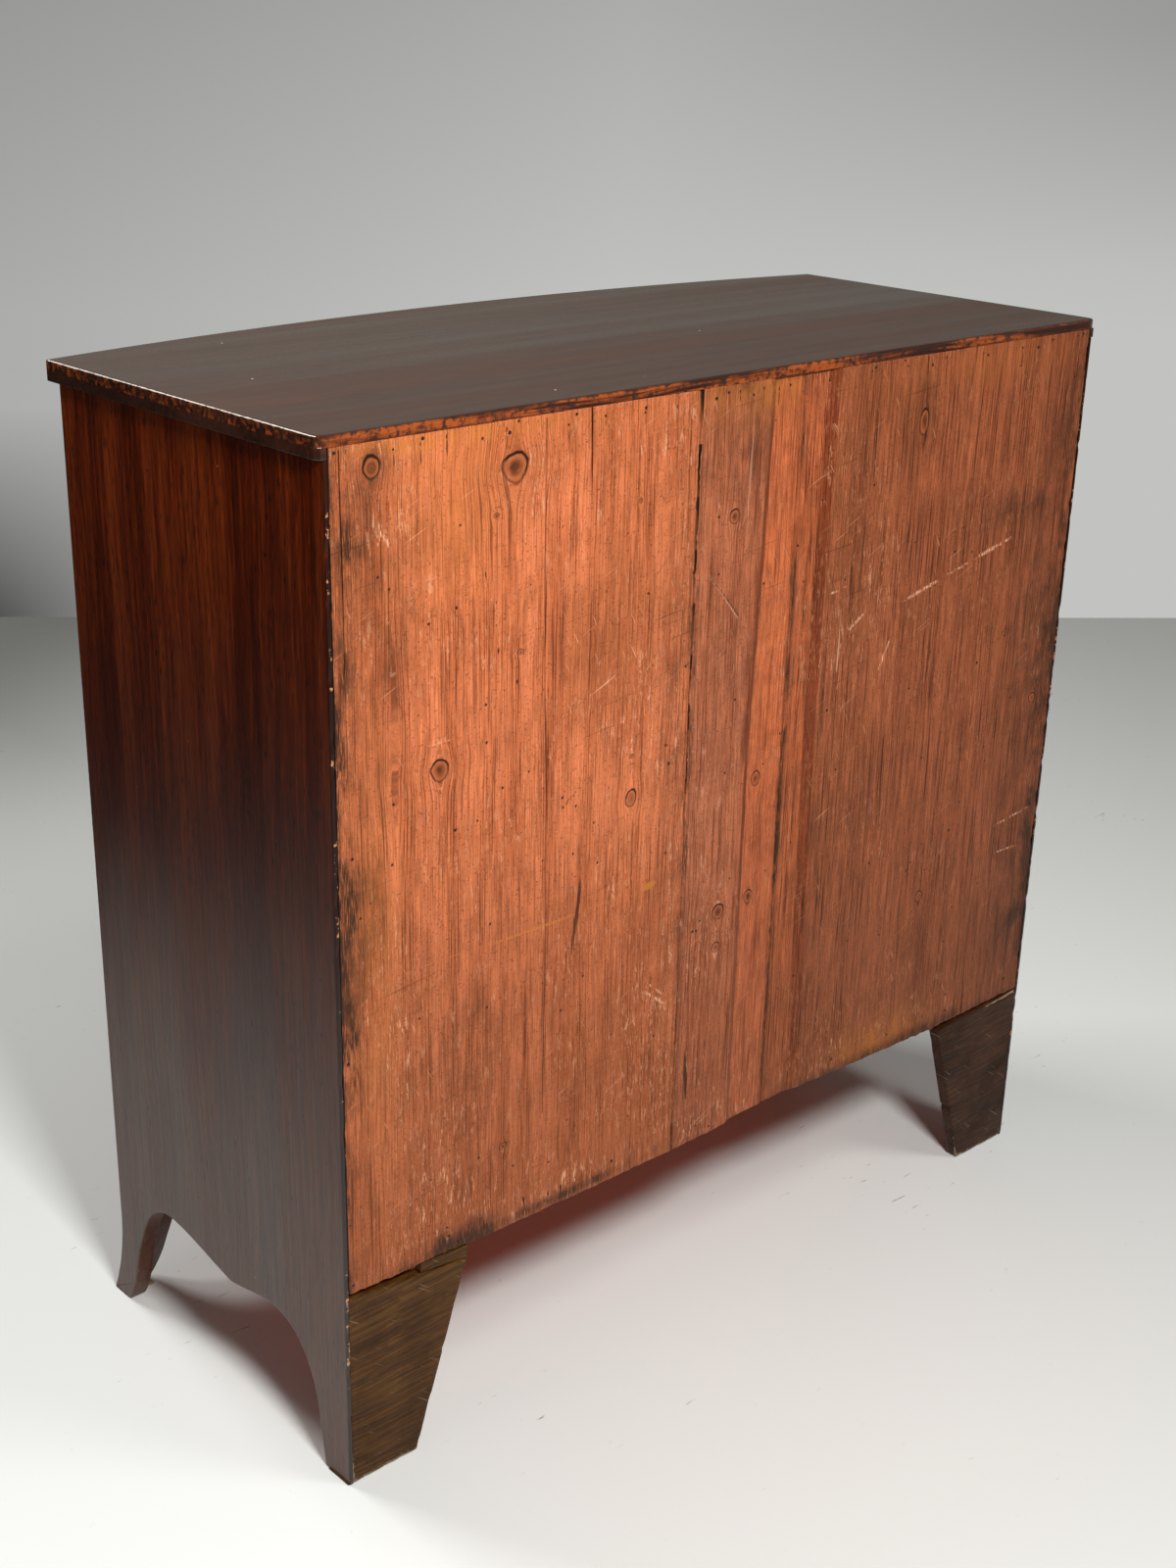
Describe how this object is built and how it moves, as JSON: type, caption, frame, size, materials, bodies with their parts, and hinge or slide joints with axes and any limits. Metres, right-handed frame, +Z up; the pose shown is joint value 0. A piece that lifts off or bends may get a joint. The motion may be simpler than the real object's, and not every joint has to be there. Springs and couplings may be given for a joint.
{
  "type": "bow front chest of drawers",
  "caption": "Bow front chest of drawers on splayed bracket feet, with short drawers over graduated long ones, hanging bail handles and a boarded pine back.",
  "frame": {"origin": "centre of the overall footprint, on the floor", "axes": "+Z up, the bowed front faces -Y, +X to the right as seen from the front"},
  "size_m": [1.058, 0.485, 1.04],
  "materials": {
    "mahogany": "old French polish, satin gloss, worn at the arrises",
    "washed_pine": "bare pine under a thin, rubbed red ochre wash",
    "plain_pine": "bare, sawn",
    "oak": "bare, planed",
    "stained_oak": "dark stain, scuffed",
    "brass": "aged, rubbed bright on the raised parts"
  },
  "bodies": {
    "case": {"top_board": "mahogany", "side_right": "mahogany", "side_left": "mahogany", "top_rail": "mahogany", "drawer_rail_upper": "mahogany", "drawer_rail_middle": "mahogany", "drawer_rail_lower": "mahogany", "base_board": "mahogany", "centre_divider": "mahogany", "front_apron": "mahogany", "drawer_guide": "plain_pine", "dustboard_upper": "plain_pine", "dustboard_middle": "plain_pine", "dustboard_lower": "plain_pine", "backboard_right": "washed_pine", "backboard_middle": "washed_pine", "backboard_left": "washed_pine", "rear_foot_right": "stained_oak", "rear_foot_left": "stained_oak"},
    "short_drawer_left": {"short_drawer_left_front": "mahogany", "short_drawer_left_side_left": "oak", "short_drawer_left_side_right": "oak", "short_drawer_left_back": "oak", "short_drawer_left_bottom": "oak", "short_drawer_left_handle": "brass"},
    "short_drawer_right": {"short_drawer_right_front": "mahogany", "short_drawer_right_side_left": "oak", "short_drawer_right_side_right": "oak", "short_drawer_right_back": "oak", "short_drawer_right_bottom": "oak", "short_drawer_right_handle": "brass"},
    "long_drawer_upper": {"long_drawer_upper_front": "mahogany", "long_drawer_upper_side_left": "oak", "long_drawer_upper_side_right": "oak", "long_drawer_upper_back": "oak", "long_drawer_upper_bottom": "oak", "long_drawer_upper_handle_left": "brass", "long_drawer_upper_handle_right": "brass"},
    "long_drawer_middle": {"long_drawer_middle_front": "mahogany", "long_drawer_middle_side_left": "oak", "long_drawer_middle_side_right": "oak", "long_drawer_middle_back": "oak", "long_drawer_middle_bottom": "oak", "long_drawer_middle_handle_left": "brass", "long_drawer_middle_handle_right": "brass"},
    "long_drawer_lower": {"long_drawer_lower_front": "mahogany", "long_drawer_lower_side_left": "oak", "long_drawer_lower_side_right": "oak", "long_drawer_lower_back": "oak", "long_drawer_lower_bottom": "oak", "long_drawer_lower_handle_left": "brass", "long_drawer_lower_handle_right": "brass"},
    "short_left_bail": {"short_drawer_left_bail": "brass"},
    "short_right_bail": {"short_drawer_right_bail": "brass"},
    "upper_left_bail": {"long_drawer_upper_bail_left": "brass"},
    "upper_right_bail": {"long_drawer_upper_bail_right": "brass"},
    "middle_left_bail": {"long_drawer_middle_bail_left": "brass"},
    "middle_right_bail": {"long_drawer_middle_bail_right": "brass"},
    "lower_left_bail": {"long_drawer_lower_bail_left": "brass"},
    "lower_right_bail": {"long_drawer_lower_bail_right": "brass"}
  },
  "joints": [
    {"name": "short_drawer_left_slide", "type": "slide", "parent": "case", "child": "short_drawer_left", "axis": [0, -1, 0], "range_m": [0, 0.33]},
    {"name": "short_drawer_right_slide", "type": "slide", "parent": "case", "child": "short_drawer_right", "axis": [0, -1, 0], "range_m": [0, 0.33]},
    {"name": "long_drawer_upper_slide", "type": "slide", "parent": "case", "child": "long_drawer_upper", "axis": [0, -1, 0], "range_m": [0, 0.33]},
    {"name": "long_drawer_middle_slide", "type": "slide", "parent": "case", "child": "long_drawer_middle", "axis": [0, -1, 0], "range_m": [0, 0.33]},
    {"name": "long_drawer_lower_slide", "type": "slide", "parent": "case", "child": "long_drawer_lower", "axis": [0, -1, 0], "range_m": [0, 0.33]},
    {"name": "short_left_bail_swing", "type": "hinge", "parent": "short_drawer_left", "child": "short_left_bail", "pos_m": [-0.25704, -0.22901, 0.93105], "axis": [-0.995, 0.1, 0], "range_deg": [-8, 188]},
    {"name": "short_right_bail_swing", "type": "hinge", "parent": "short_drawer_right", "child": "short_right_bail", "pos_m": [0.25704, -0.22901, 0.93105], "axis": [-0.995, -0.1, 0], "range_deg": [-8, 188]},
    {"name": "upper_left_bail_swing", "type": "hinge", "parent": "long_drawer_upper", "child": "upper_left_bail", "pos_m": [-0.25704, -0.22901, 0.76005], "axis": [-0.995, 0.1, 0], "range_deg": [-8, 188]},
    {"name": "upper_right_bail_swing", "type": "hinge", "parent": "long_drawer_upper", "child": "upper_right_bail", "pos_m": [0.25704, -0.22901, 0.76005], "axis": [-0.995, -0.1, 0], "range_deg": [-8, 188]},
    {"name": "middle_left_bail_swing", "type": "hinge", "parent": "long_drawer_middle", "child": "middle_left_bail", "pos_m": [-0.25704, -0.22901, 0.56655], "axis": [-0.995, 0.1, 0], "range_deg": [-8, 188]},
    {"name": "middle_right_bail_swing", "type": "hinge", "parent": "long_drawer_middle", "child": "middle_right_bail", "pos_m": [0.25704, -0.22901, 0.56655], "axis": [-0.995, -0.1, 0], "range_deg": [-8, 188]},
    {"name": "lower_left_bail_swing", "type": "hinge", "parent": "long_drawer_lower", "child": "lower_left_bail", "pos_m": [-0.25704, -0.22901, 0.34555], "axis": [-0.995, 0.1, 0], "range_deg": [-8, 188]},
    {"name": "lower_right_bail_swing", "type": "hinge", "parent": "long_drawer_lower", "child": "lower_right_bail", "pos_m": [0.25704, -0.22901, 0.34555], "axis": [-0.995, -0.1, 0], "range_deg": [-8, 188]}
  ]
}
